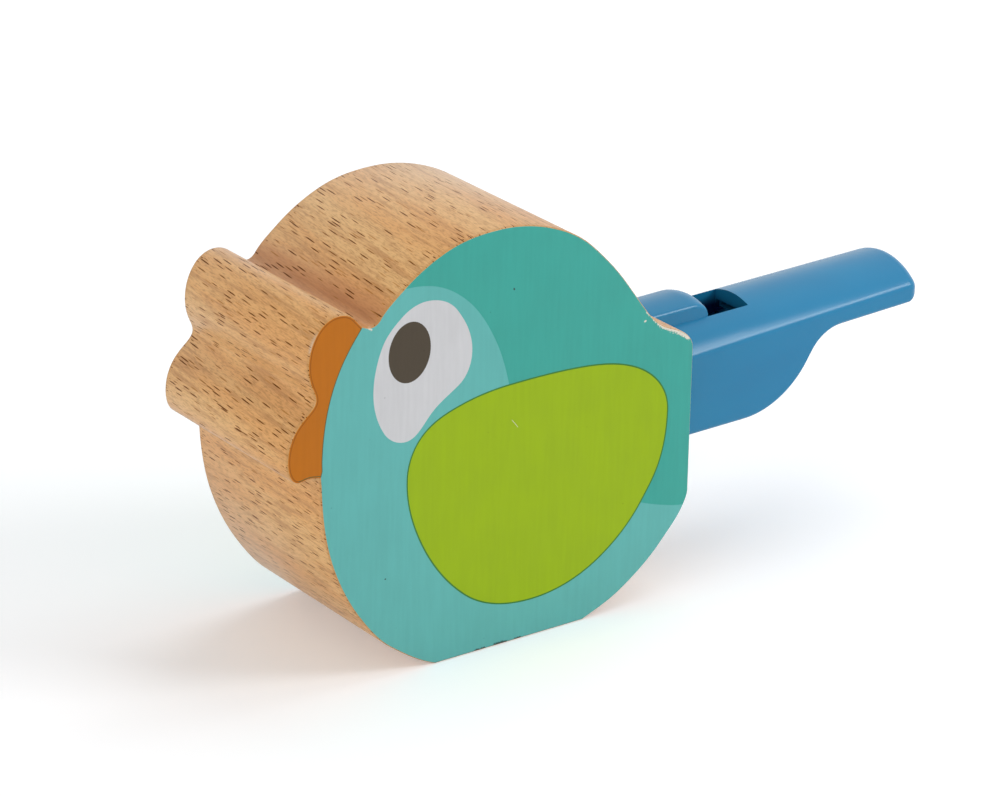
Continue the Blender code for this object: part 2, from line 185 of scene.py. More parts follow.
sheet = bmesh.new()
for finish_name, outlines in field_outlines:
    add_fill(sheet, outlines, BLOCK_FINISHES.index(finish_name))
bmesh.ops.remove_doubles(sheet, verts=sheet.verts, dist=WELD)
bmesh.ops.dissolve_limit(sheet, angle_limit=math.radians(0.5), use_dissolve_boundaries=False,
                         verts=sheet.verts, edges=sheet.edges, delimit={"MATERIAL"})
bmesh.ops.scale(sheet, verts=sheet.verts, vec=(x_scale / MM, z_scale / MM, 1.0))
stand_up = Matrix.Rotation(math.radians(90.0), 3, "X")
bmesh.ops.rotate(sheet, verts=sheet.verts, cent=(0.0, 0.0, 0.0), matrix=stand_up)
bmesh.ops.translate(sheet, verts=sheet.verts, vec=(0.0, block_low.y, 0.0))
grown = bmesh.ops.extrude_face_region(sheet, geom=list(sheet.faces), use_keep_orig=True)
far_points = [item for item in grown["geom"] if isinstance(item, bmesh.types.BMVert)]
bmesh.ops.translate(sheet, verts=far_points, vec=(0.0, block_high.y - block_low.y, 0.0))
bmesh.ops.recalc_face_normals(sheet, faces=sheet.faces)

RIM_ROUNDING = 0.00028
BEAK_TRAP_WIDTH = 0.00013
ALL_BUT_FLAT = 0.99
ALL_BUT_SQUARE = 0.1
PRINTED_TILT = 0.85


def is_rim(edge):
    """Where a flat face meets the moulded edge at a right angle."""
    if len(edge.link_faces) != 2:
        return False
    one, other = edge.link_faces
    flat = max(abs(one.normal.y), abs(other.normal.y)) > ALL_BUT_FLAT
    return flat and abs(one.normal.dot(other.normal)) < ALL_BUT_SQUARE


rims = [edge for edge in sheet.edges if is_rim(edge)]
bmesh.ops.bevel(sheet, geom=rims, offset=RIM_ROUNDING, offset_type="OFFSET", segments=3, profile=0.5,
                affect="EDGES", clamp_overlap=False, material=-1, loop_slide=True)
for face in sheet.faces:
    if abs(face.normal.y) < PRINTED_TILT:
        face.material_index = BLOCK_FINISHES.index("beech")
for side in (-1.0, 1.0):
    one_side = [face for face in sheet.faces if face.normal.y * side > ALL_BUT_FLAT]
    beak_faces = [face for face in one_side if face.material_index == BLOCK_FINISHES.index("beak")]
    border = bmesh.ops.inset_region(sheet, faces=beak_faces, thickness=BEAK_TRAP_WIDTH,
                                    use_even_offset=True, use_boundary=True)
    for face in border["faces"]:
        face.material_index = BLOCK_FINISHES.index("beak_trap")
block_mesh = bpy.data.meshes.new("printed_block")
sheet.to_mesh(block_mesh)
sheet.free()


def add_piece(name, mesh, slot_name, *nodes):
    """A finished piece that rides with the whistle and stands for the named solids."""
    piece = bpy.data.objects.new(name, mesh)
    bpy.context.scene.collection.objects.link(piece)
    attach(piece, "root")
    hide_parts(*nodes)
    return piece


SOCKET_RADIUS = 0.0077
SOCKET_DEPTH = 0.0165
SOCKET_AXIS_Z = 0.0276
ROUND_STEPS = 96
DEAD_FLAT = 0.9999

wall_x = TAIL_WALL[0][0] * x_scale
lay_along = Matrix.Rotation(math.radians(90.0), 3, "Y")


def moved_to_wall(shape):
    """Puts a shape drawn about the origin where the socket's axis meets the tail wall."""
    bmesh.ops.translate(shape, verts=shape.verts, vec=(wall_x, 0.0, SOCKET_AXIS_Z))
    return shape


def rod(radius, start, end):
    """A round rod along the socket's axis; lengths count from the tail wall."""
    shape = bmesh.new()
    bmesh.ops.create_cone(shape, cap_ends=True, segments=ROUND_STEPS, radius1=radius, radius2=radius,
                          depth=end - start)
    bmesh.ops.rotate(shape, verts=shape.verts, cent=(0.0, 0.0, 0.0), matrix=lay_along)
    bmesh.ops.translate(shape, verts=shape.verts, vec=((start + end) / 2.0, 0.0, 0.0))
    return moved_to_wall(shape)


def add_helper(name, shape):
    """An object for a shape that only cuts or joins, and is gone afterwards."""
    mesh = bpy.data.meshes.new(name)
    shape.to_mesh(mesh)
    shape.free()
    helper = bpy.data.objects.new(name, mesh)
    bpy.context.scene.collection.objects.link(helper)
    return helper


def keep_shape(piece):
    """Makes what the modifiers give the piece's own mesh."""
    bpy.context.view_layer.update()
    evaluated = piece.evaluated_get(bpy.context.evaluated_depsgraph_get())
    mesh = bpy.data.meshes.new_from_object(evaluated)
    piece.modifiers.clear()
    piece.data = mesh


def worked(piece, helper, operation):
    """Cuts the helper's shape out of the piece, or joins it on."""
    modifier = piece.modifiers.new(helper.name, "BOOLEAN")
    modifier.operation = operation
    modifier.solver = "EXACT"
    modifier.object = helper
    keep_shape(piece)
    bpy.data.objects.remove(helper)


block = add_piece("printed_block", block_mesh, "printed_beech", "wooden_body")


# The block's wood is pale beech, sanded, with a thin matt coat. Short dark ray flecks and fine
# streaks run along the grain, and torn fibres show as short ticks at the rims.


def new_material(name):
    material = bpy.data.materials.new(name)
    material.use_nodes = True
    tree = material.node_tree
    return material, tree, tree.nodes["Principled BSDF"]


def new_group(name, inputs, outputs):
    """An empty shader node group whose sockets are given as names and kinds."""
    tree = bpy.data.node_groups.new(name, "ShaderNodeTree")
    for in_out, sockets in (("INPUT", inputs), ("OUTPUT", outputs)):
        for socket_name, kind in sockets.items():
            tree.interface.new_socket(name=socket_name, in_out=in_out, socket_type=kind)
    return tree


def add_node(tree, kind, **settings):
    node = tree.nodes.new(kind)
    for name, value in settings.items():
        setattr(node, name, value)
    return node


def plug(tree, socket, value):
    """Feeds a socket from another node, or sets it to a number, a colour or a vector."""
    if isinstance(value, bpy.types.NodeSocket):
        tree.links.new(value, socket)
    elif socket.type == "RGBA":
        socket.default_value = (*value, 1.0)
    else:
        socket.default_value = value


def object_place(tree):
    return add_node(tree, "ShaderNodeTexCoord").outputs["Object"]


def object_axes(tree):
    """The place as three values: along the whistle, through the block's thickness, and up."""
    axes = add_node(tree, "ShaderNodeSeparateXYZ")
    tree.links.new(object_place(tree), axes.inputs["Vector"])
    return axes.outputs["X"], axes.outputs["Y"], axes.outputs["Z"]


def in_cells(tree, size, tilt=(0.0, 0.0, 0.0)):
    """The place counted in cells of that size along x, y and z, with the cells tilted."""
    mapping = add_node(tree, "ShaderNodeMapping", vector_type="TEXTURE")
    mapping.inputs["Rotation"].default_value = tilt
    mapping.inputs["Scale"].default_value = size
    tree.links.new(object_place(tree), mapping.inputs["Vector"])
    return mapping.outputs["Vector"]


def math_node(tree, operation, *values, clamp=False):
    node = add_node(tree, "ShaderNodeMath", operation=operation, use_clamp=clamp)
    for socket, value in zip(node.inputs, values):
        plug(tree, socket, value)
    return node.outputs[0]


def vector_node(tree, operation, *values):
    node = add_node(tree, "ShaderNodeVectorMath", operation=operation)
    for socket, value in zip(node.inputs, values):
        plug(tree, socket, value)
    return node


def band(tree, value, low, high, out_low=0.0, out_high=1.0):
    """A value that eases from one level to another between low and high."""
    node = add_node(tree, "ShaderNodeMapRange", interpolation_type="SMOOTHSTEP")
    names = ("Value", "From Min", "From Max", "To Min", "To Max")
    for name, given in zip(names, (value, low, high, out_low, out_high)):
        plug(tree, node.inputs[name], given)
    return node.outputs["Result"]


def mixed(tree, factor, first, second, blend="MIX"):
    node = add_node(tree, "ShaderNodeMix", data_type="RGBA", blend_type=blend)
    plug(tree, node.inputs["Factor"], factor)
    plug(tree, node.inputs[6], first)
    plug(tree, node.inputs[7], second)
    return node.outputs[2]


def noise(tree, vector, detail, roughness):
    node = add_node(tree, "ShaderNodeTexNoise")
    node.inputs["Scale"].default_value = 1.0
    node.inputs["Detail"].default_value = detail
    node.inputs["Roughness"].default_value = roughness
    tree.links.new(vector, node.inputs["Vector"])
    return node.outputs["Fac"]


STRONGEST = 0.95


def spindles(tree, vector, slim, full, weakest):
    """Slim dark marks, one to a cell, each of its own strength."""
    cells = add_node(tree, "ShaderNodeTexVoronoi", feature="F1")
    cells.inputs["Scale"].default_value = 1.0
    tree.links.new(vector, cells.inputs["Vector"])
    split = add_node(tree, "ShaderNodeSeparateColor")
    tree.links.new(cells.outputs["Color"], split.inputs["Color"])
    near = band(tree, cells.outputs["Distance"], slim, full, 1.0, 0.0)
    strength = band(tree, split.outputs["Red"], weakest, STRONGEST)
    return math_node(tree, "MULTIPLY", near, strength)


def add_bump(tree, shader, height, strength, depth):
    bump = add_node(tree, "ShaderNodeBump")
    bump.inputs["Strength"].default_value = strength
    bump.inputs["Distance"].default_value = depth
    tree.links.new(height, bump.inputs["Height"])
    tree.links.new(bump.outputs["Normal"], shader.inputs["Normal"])


GRAIN_TILT = (math.radians(2.3), 0.0, math.radians(-4.0))
FLECK_CELL = (0.00032, 0.0046, 0.00032)
TORN_CELL = (0.00030, 0.0015, 0.00030)
STREAK_CELL = (0.0007, 0.014, 0.0007)
FIBRE_CELL = (0.00016, 0.0011, 0.00016)
BAND_CELL = (0.005, 0.05, 0.005)
GRAIN_ROUGHNESS = 0.6
TORN_DEPTH = 0.0022
TORN_FULL_DEPTH = 0.0003
RIM_DEPTH = 0.0007
RIM_FULL_DEPTH = 0.0002

GRAIN_OUTPUTS = ("Fleck", "Streak", "Fibre", "Band", "Rim")
beech_grain = new_group("beech_grain", {}, dict.fromkeys(GRAIN_OUTPUTS, "NodeSocketFloat"))
tree = beech_grain
grain_out = add_node(tree, "NodeGroupOutput").inputs
flecks = spindles(tree, in_cells(tree, FLECK_CELL, GRAIN_TILT), slim=0.20, full=0.34, weakest=0.08)
torn = spindles(tree, in_cells(tree, TORN_CELL, GRAIN_TILT), slim=0.22, full=0.32, weakest=0.45)
outward = math_node(tree, "ABSOLUTE", object_axes(tree)[1])
near_face = band(tree, outward, block_high.y - TORN_DEPTH, block_high.y - TORN_FULL_DEPTH)
torn = math_node(tree, "MULTIPLY", torn, near_face)
at_rim = band(tree, outward, block_high.y - RIM_DEPTH, block_high.y - RIM_FULL_DEPTH)
tree.links.new(math_node(tree, "MAXIMUM", flecks, torn), grain_out["Fleck"])
tree.links.new(at_rim, grain_out["Rim"])
for output_name, cell, detail in (("Streak", STREAK_CELL, 3.0),
                                  ("Fibre", FIBRE_CELL, 2.0),
                                  ("Band", BAND_CELL, 3.0)):
    lines = noise(tree, in_cells(tree, cell, GRAIN_TILT), detail, GRAIN_ROUGHNESS)
    tree.links.new(lines, grain_out[output_name])

MARK_RAGGED_CELL = (0.00022, 0.00022, 0.00022)
NEAR_FACE_ONLY = 0.0
BOTH_FACES = 1.0

local_mark = new_group("local_mark",
                       {"Start": "NodeSocketVector", "End": "NodeSocketVector", "Reach": "NodeSocketFloat",
                        "Core": "NodeSocketFloat", "Ragged": "NodeSocketFloat", "Behind": "NodeSocketFloat"},
                       {"Mask": "NodeSocketFloat"})
tree = local_mark
mark_in = add_node(tree, "NodeGroupInput").outputs
mark_out = add_node(tree, "NodeGroupOutput").inputs
flat_place = vector_node(tree, "MULTIPLY", object_place(tree), (1.0, 0.0, 1.0)).outputs[0]
along = vector_node(tree, "SUBTRACT", mark_in["End"], mark_in["Start"]).outputs[0]
reached = vector_node(tree, "SUBTRACT", flat_place, mark_in["Start"]).outputs[0]
run = vector_node(tree, "DOT_PRODUCT", reached, along).outputs["Value"]
whole = vector_node(tree, "DOT_PRODUCT", along, along).outputs["Value"]
foot = vector_node(tree, "SCALE", along)
tree.links.new(math_node(tree, "DIVIDE", run, whole, clamp=True), foot.inputs["Scale"])
apart = vector_node(tree, "SUBTRACT", reached, foot.outputs[0]).outputs[0]
away = vector_node(tree, "LENGTH", apart).outputs["Value"]
edge_noise = noise(tree, in_cells(tree, MARK_RAGGED_CELL), detail=2.0, roughness=0.6)
wobble = math_node(tree, "MULTIPLY", math_node(tree, "SUBTRACT", edge_noise, 0.5), mark_in["Ragged"])
inside = band(tree, math_node(tree, "ADD", away, wobble), mark_in["Core"], mark_in["Reach"], 1.0, 0.0)
in_front = math_node(tree, "LESS_THAN", object_axes(tree)[1], mark_in["Behind"])
tree.links.new(math_node(tree, "MULTIPLY", inside, in_front), mark_out["Mask"])


def marked(tree, marks, behind=NEAR_FACE_ONLY):
    """The largest of local marks, given in drawn mm as start, end, reach, core and raggedness."""
    total = None
    for start, end, reach, core, ragged in marks:
        spot = add_node(tree, "ShaderNodeGroup", node_tree=local_mark)
        spot.inputs["Start"].default_value = (start[0] * MM, 0.0, start[1] * MM)
        spot.inputs["End"].default_value = (end[0] * MM, 0.0, end[1] * MM)
        for name, value in (("Reach", reach), ("Core", core), ("Ragged", ragged)):
            spot.inputs[name].default_value = value * MM
        spot.inputs["Behind"].default_value = behind
        mask = spot.outputs["Mask"]
        total = mask if total is None else math_node(tree, "MAXIMUM", total, mask)
    return total


REDDER_WOOD = [((-24.6, 50.9), (-21.4, 52.1), 3.6, 0.2, 0.5)]
RUBBED_WOOD = [((-33.1, 50.2), (-32.4, 52.3), 1.1, 0.2, 0.9),
               ((-24.0, 51.6), (-23.4, 51.2), 0.22, 0.02, 0.4),
               ((22.4, 43.75), (24.4, 41.45), 0.30, 0.05, 0.7),
               ((24.4, 41.45), (27.2, 40.1), 0.35, 0.05, 0.9),
               ((27.2, 40.1), (29.9, 38.3), 0.30, 0.05, 0.7)]
YELLOW_BEECH = (0.705, 0.418, 0.165)
PINK_BEECH = (0.670, 0.338, 0.110)
STREAK_TONE = (0.43, 0.20, 0.062)
FIBRE_TONE = (0.315, 0.138, 0.026)
REDDER_TONE = (0.48, 0.185, 0.060)
SAWN_RIM_TONE = (0.45, 0.225, 0.06)
FLECK_EDGE_TONE = (0.41, 0.160, 0.016)
FLECK_TONE = (0.115, 0.028, 0.000)
RUBBED_TONE = (0.72, 0.67, 0.57)
FINE_RELIEF = 0.00004

beech, tree, shader = new_material("beech")
grain = add_node(tree, "ShaderNodeGroup", node_tree=beech_grain).outputs
worn = math_node(tree, "MULTIPLY", marked(tree, RUBBED_WOOD), grain["Rim"])
tone = mixed(tree, band(tree, grain["Band"], 0.36, 0.64), YELLOW_BEECH, PINK_BEECH)
for share, stain in (
    (band(tree, grain["Streak"], 0.45, 0.68, 0.0, 0.7), STREAK_TONE),
    (band(tree, grain["Fibre"], 0.42, 0.74, 0.0, 0.6), FIBRE_TONE),
    (math_node(tree, "MULTIPLY", marked(tree, REDDER_WOOD, BOTH_FACES), 0.55), REDDER_TONE),
    (math_node(tree, "MULTIPLY", grain["Rim"], 0.45), SAWN_RIM_TONE),
    (band(tree, grain["Fleck"], 0.0, 0.5, 0.0, 0.8), FLECK_EDGE_TONE),
    (band(tree, grain["Fleck"], 0.35, 0.85), FLECK_TONE),
    (math_node(tree, "MULTIPLY", worn, 0.35), RUBBED_TONE),
):
    tone = mixed(tree, share, tone, stain)
tree.links.new(tone, shader.inputs["Base Color"])
tree.links.new(band(tree, grain["Streak"], 0.3, 0.7, 0.5, 0.62), shader.inputs["Roughness"])
tree.links.new(band(tree, grain["Fleck"], 0.0, 1.0, 0.75, 0.0), shader.inputs["Coat Weight"])
shader.inputs["Specular IOR Level"].default_value = 0.1
shader.inputs["Coat Roughness"].default_value = 0.34
shader.inputs["Sheen Weight"].default_value = 0.22
shader.inputs["Sheen Roughness"].default_value = 0.35
relief = math_node(tree, "SUBTRACT", grain["Fibre"], grain["Fleck"])
add_bump(tree, shader, relief, 0.3, FINE_RELIEF)


# The block's print is flat fields of satin ink on sanded end grain, so faint upright rays and a
# few pores show through. It is worn to the wood at the tail shoulder and by the notch.

INK_RAY_CELL = (0.0006, 0.004, 0.008)
INK_MOTTLE_CELL = (0.004, 0.004, 0.006)
PORE_CELL = (0.0021, 0.0021, 0.0021)
PORE_SHADE = 0.2

ink = new_group("printed_ink", {"Colour": "NodeSocketColor"},
                {"Colour": "NodeSocketColor", "Roughness": "NodeSocketFloat", "Height": "NodeSocketFloat"})
tree = ink
ink_in = add_node(tree, "NodeGroupInput").outputs
ink_out = add_node(tree, "NodeGroupOutput").inputs
rays = noise(tree, in_cells(tree, INK_RAY_CELL), detail=2.0, roughness=0.5)
mottle = noise(tree, in_cells(tree, INK_MOTTLE_CELL), detail=4.0, roughness=0.6)
pores = spindles(tree, in_cells(tree, PORE_CELL), slim=0.04, full=0.07, weakest=0.75)
shade = band(tree, mottle, 0.3, 0.7, 0.98, 1.02)
shade = math_node(tree, "ADD", shade, band(tree, rays, 0.3, 0.7, -0.02, 0.02))
shade = math_node(tree, "SUBTRACT", shade, math_node(tree, "MULTIPLY", pores, PORE_SHADE))
tree.links.new(mixed(tree, 1.0, ink_in["Colour"], shade, "MULTIPLY"), ink_out["Colour"])
tree.links.new(band(tree, mottle, 0.3, 0.7, 0.38, 0.52), ink_out["Roughness"])
tree.links.new(rays, ink_out["Height"])

INKS = {
    "breast": (0.122, 0.445, 0.425),
    "back": (0.048, 0.361, 0.309),
    "beak": (0.485, 0.145, 0.004),
    "beak_trap": (0.30, 0.085, 0.004),
    "wing": (0.310, 0.455, 0.004),
    "wing_trap": (0.045, 0.19, 0.03),
    "eye": (0.600, 0.600, 0.620),
    "pupil": (0.072, 0.055, 0.037),
}
OLIVE_TONE = (0.10, 0.10, 0.03)
SPOT_TONE = (0.035, 0.075, 0.07)
WORN_PRINT = {
    "back": [((22.1, 43.6), (23.3, 42.4), 0.26, 0.12, 0.7),
             ((23.3, 42.4), (24.7, 41.0), 0.34, 0.16, 0.9),
             ((24.7, 41.0), (27.1, 39.8), 0.42, 0.18, 1.0),
             ((27.1, 39.8), (29.5, 38.2), 0.34, 0.14, 0.9),
             ((21.7, 42.3), (21.85, 42.35), 0.18, 0.08, 0.1)],
    "breast": [((-23.9, 51.2), (-23.3, 50.8), 0.20, 0.03, 0.4)],
    "wing": [((-0.4, 32.9), (0.6, 31.65), 0.055, 0.01, 0.05)],
}
SPOTTED_PRINT = {
    "back": [((-0.5, 51.7), (-0.45, 51.6), 0.16, 0.08, 0.1)],
    "breast": [((-20.8, 14.7), (-20.75, 14.7), 0.14, 0.07, 0.1),
               ((-5.9, 0.15), (-4.3, 0.15), 0.26, 0.10, 0.6),
               ((-2.6, 0.18), (-0.7, 0.15), 0.34, 0.12, 0.7),
               ((0.9, 0.15), (1.7, 0.15), 0.26, 0.10, 0.5)],
}
OLIVE_TRAP = [((-31.0, 32.0), (-30.4, 38.5), 0.8, 0.6, 0.0),
              ((-30.4, 38.5), (-27.5, 47.2), 0.8, 0.6, 0.0),
              ((-27.5, 47.2), (-25.2, 50.7), 0.8, 0.6, 0.0),
              ((-34.0, 31.7), (-31.2, 31.7), 0.8, 0.6, 0.0)]


def printed(field):
    """One field's ink, with the places where it is worn to pale wood or spotted dark."""
    material, tree, shader = new_material("print_" + field)
    finish = add_node(tree, "ShaderNodeGroup", node_tree=ink)
    plug(tree, finish.inputs["Colour"], INKS[field])
    tone = finish.outputs["Colour"]
    if field in WORN_PRINT:
        tone = mixed(tree, marked(tree, WORN_PRINT[field]), tone, RUBBED_TONE)
    if field in SPOTTED_PRINT:
        tone = mixed(tree, marked(tree, SPOTTED_PRINT[field]), tone, SPOT_TONE)
    if field == "beak_trap":
        tone = mixed(tree, marked(tree, OLIVE_TRAP, BOTH_FACES), tone, OLIVE_TONE)
    tree.links.new(tone, shader.inputs["Base Color"])
    tree.links.new(finish.outputs["Roughness"], shader.inputs["Roughness"])
    shader.inputs["Specular IOR Level"].default_value = 0.2
    add_bump(tree, shader, finish.outputs["Height"], 0.25, FINE_RELIEF)
    return material


block.data.materials.append(beech)
for field in BLOCK_FINISHES[1:]:
    block.data.materials.append(printed(field))
worked(block, add_helper("drill", rod(SOCKET_RADIUS, -SOCKET_DEPTH, SOCKET_DEPTH)), "DIFFERENCE")
for face in block.data.polygons:
    face.use_smooth = abs(face.normal.y) < DEAD_FLAT
block.data.set_sharp_from_angle(angle=math.radians(50.0))


# The mouthpiece: one hollow blue moulding, glued into the tail wall by its round spigot. It has a
# domed crown, a raised lip block, the sound window in front of it, and a windway out to the tip.

FIT_GAP = 0.0003
SPIGOT_RADIUS = 0.0074
SPIGOT_LENGTH = 0.0150
BORE_RADIUS = 0.0056
TAIL_LENGTH = 0.0483
TAIL_HALF_WIDTH = 0.00818
SIDE_TAPER = math.radians(1.1)
CROWN_ABOVE_AXIS = 0.0079
CROWN_PITCH = math.radians(1.4)
CROWN_RADIUS = 0.0100
SHOULDER_FILLET = 0.0015
KEEL_BELOW_AXIS = 0.0081
KEEL_PITCH = math.radians(0.5)
KEEL_FILLET = 0.0008
KEEL_RUN = 0.0158
KEEL_RADIUS = 0.0135
THROAT_RADIUS = 0.0070
THROAT_ANGLE = math.radians(57.0)
TIP_THICKNESS = 0.0059
UNDERSIDE_PITCH = math.radians(2.0)
TIP_ROUNDING = 0.0019
WINDOW_HALF_WIDTH = 0.00375
LIP_BLOCK_LENGTH = 0.01155
WINDOW_LENGTH = 0.00725
LIP_BLOCK_STEP = 0.0022
LIP_BLOCK_RADIUS = 0.0094
LIP_BLOCK_ROUNDING = 0.0007
NOSE_LENGTH = 0.0029
NOSE_DROP = 0.0016
LIP_ABOVE_AXIS = 0.0057
WINDWAY_HALF_WIDTH = 0.0034
WINDWAY_HEIGHT = 0.0012
CHAMBER_OVERRUN = 0.0008
UNDERSIDE_STEPS = 24
TIP_STEPS = 14
EDGE_STEPS = 8
SHOULDER_STEPS = 14
CROWN_STEPS = 24
LIP_CROWN_STEPS = 16


def crown_height(x):
    return CROWN_ABOVE_AXIS + x * math.tan(CROWN_PITCH)


def bottom_line():
    """The underside in side view, as x and height pairs: keel, hollow throat, flat to the tip."""
    keel_end = -KEEL_BELOW_AXIS + KEEL_RUN * math.tan(KEEL_PITCH)
    tip_under = crown_height(TAIL_LENGTH) - TIP_THICKNESS
    slope = math.tan(UNDERSIDE_PITCH)
    turned_x = (KEEL_RADIUS * (math.sin(THROAT_ANGLE) - math.sin(KEEL_PITCH))
                + THROAT_RADIUS * (math.sin(THROAT_ANGLE) - math.sin(UNDERSIDE_PITCH)))
    turned_z = (KEEL_RADIUS * (math.cos(KEEL_PITCH) - math.cos(THROAT_ANGLE))
                + THROAT_RADIUS * (math.cos(UNDERSIDE_PITCH) - math.cos(THROAT_ANGLE)))
    missing = tip_under - slope * (TAIL_LENGTH - KEEL_RUN - turned_x) - keel_end - turned_z
    climb = missing / (math.sin(THROAT_ANGLE) - slope * math.cos(THROAT_ANGLE))
    line = [(FIT_GAP, -KEEL_BELOW_AXIS + FIT_GAP * math.tan(KEEL_PITCH))]
    for step in range(UNDERSIDE_STEPS + 1):
        angle = KEEL_PITCH + (THROAT_ANGLE - KEEL_PITCH) * step / UNDERSIDE_STEPS
        line.append((KEEL_RUN + KEEL_RADIUS * (math.sin(angle) - math.sin(KEEL_PITCH)),
                     keel_end + KEEL_RADIUS * (math.cos(KEEL_PITCH) - math.cos(angle))))
    top_x = line[-1][0] + climb * math.cos(THROAT_ANGLE)
    top_z = line[-1][1] + climb * math.sin(THROAT_ANGLE)
    for step in range(UNDERSIDE_STEPS + 1):
        angle = THROAT_ANGLE + (UNDERSIDE_PITCH - THROAT_ANGLE) * step / UNDERSIDE_STEPS
        line.append((top_x + THROAT_RADIUS * (math.sin(THROAT_ANGLE) - math.sin(angle)),
                     top_z + THROAT_RADIUS * (math.cos(angle) - math.cos(THROAT_ANGLE))))
    return line


def arc(centre_y, centre_z, radius, first, last, steps):
    """Points on a round of the section; angles are from straight up, turning to the side."""
    angles = [first + (last - first) * step / steps for step in range(steps + 1)]
    return [(centre_y + radius * math.sin(angle), centre_z + radius * math.cos(angle)) for angle in angles]


def both_sides(half):
    """A closed section from its half, which runs from the middle of the bottom to the middle of the top."""
    return half + [(-y, z) for y, z in half[-2:0:-1]]


def tail_section(x, bottom, inset):
    """The tail cut across at x, drawn in by the inset: flat below, straight sides, domed crown."""
    width = TAIL_HALF_WIDTH - x * math.tan(SIDE_TAPER) - inset
    top = crown_height(x) - inset
    low = bottom + inset
    radius = CROWN_RADIUS - inset
    fillet = SHOULDER_FILLET - inset * SHOULDER_FILLET / CROWN_RADIUS
    centre_y = width - fillet
    lean = math.asin(centre_y / (radius - fillet))
    half = [(0.0, low)]
    centre_z = top - radius + (radius - fillet) * math.cos(lean)
    half += arc(width - KEEL_FILLET, low + KEEL_FILLET, KEEL_FILLET, math.pi, math.pi / 2.0, EDGE_STEPS)
    half += arc(centre_y, centre_z, fillet, math.pi / 2.0, lean, SHOULDER_STEPS)
    half += arc(0.0, top - radius, radius, lean, 0.0, CROWN_STEPS)[1:]
    return [(x, y, z) for y, z in both_sides(half)]


def lofted(sections):
    """A closed bmesh through like sections, each bridged to the next."""
    shape = bmesh.new()
    loops = []
    for section in sections:
        ring = [shape.verts.new(point) for point in section]
        loops.append([shape.edges.new((ring[index - 1], vert)) for index, vert in enumerate(ring)])
    for ring, following in zip(loops, loops[1:]):
        bmesh.ops.bridge_loops(shape, edges=ring + following)
    bmesh.ops.edgeloop_fill(shape, edges=loops[0])
    bmesh.ops.edgeloop_fill(shape, edges=loops[-1])
    bmesh.ops.recalc_face_normals(shape, faces=shape.faces)
    if shape.calc_volume(signed=True) < 0.0:
        bmesh.ops.reverse_faces(shape, faces=shape.faces)
    bmesh.ops.triangulate(shape, faces=shape.faces)
    return shape


def bar(start, end, half_width, low, high):
    """A square bar along the whistle; lengths count from the tail wall, heights from the axis."""
    shape = bmesh.new()
    bmesh.ops.create_cube(shape, size=1.0)
    bmesh.ops.scale(shape, verts=shape.verts, vec=(end - start, 2.0 * half_width, high - low))
    bmesh.ops.translate(shape, verts=shape.verts, vec=((start + end) / 2.0, 0.0, (low + high) / 2.0))
    return moved_to_wall(shape)


quarter_turn = [math.pi / 2.0 * step / TIP_STEPS for step in range(TIP_STEPS + 1)]
underside = bottom_line()
flat_x, flat_z = underside[-1]
tail_sections = [tail_section(x, bottom, 0.0) for x, bottom in underside]
for angle in quarter_turn:
    x = TAIL_LENGTH - TIP_ROUNDING * (1.0 - math.sin(angle))
    bottom = flat_z + (x - flat_x) * math.tan(UNDERSIDE_PITCH)
    tail_sections.append(tail_section(x, bottom, TIP_ROUNDING * (1.0 - math.cos(angle))))

corner_y = WINDOW_HALF_WIDTH - LIP_BLOCK_ROUNDING
lean = math.asin(corner_y / (LIP_BLOCK_RADIUS - LIP_BLOCK_ROUNDING))
corner_z = (LIP_BLOCK_RADIUS - LIP_BLOCK_ROUNDING) * math.cos(lean) - LIP_BLOCK_RADIUS
lip_crown = arc(corner_y, corner_z, LIP_BLOCK_ROUNDING, math.pi / 2.0, lean, EDGE_STEPS)
lip_crown += arc(0.0, -LIP_BLOCK_RADIUS, LIP_BLOCK_RADIUS, lean, 0.0, LIP_CROWN_STEPS)[1:]
lip_stations = [(FIT_GAP, 0.0)]
for angle in quarter_turn:
    nose_x = LIP_BLOCK_LENGTH - NOSE_LENGTH * (1.0 - math.sin(angle))
    lip_stations.append((nose_x, NOSE_DROP * (1.0 - math.cos(angle))))
lip_sections = []
for x, drop in lip_stations:
    top = crown_height(x) + LIP_BLOCK_STEP - drop
    half = [(0.0, BORE_RADIUS), (WINDOW_HALF_WIDTH, BORE_RADIUS)]
    half += [(y, top + z) for y, z in lip_crown]
    lip_sections.append([(x, y, z) for y, z in both_sides(half)])

tail_mesh = bpy.data.meshes.new("moulded_mouthpiece")
tail = moved_to_wall(lofted(tail_sections))
tail.to_mesh(tail_mesh)
tail.free()
mouthpiece = add_piece("moulded_mouthpiece", tail_mesh, "blue_plastic", "whistle_mouthpiece")

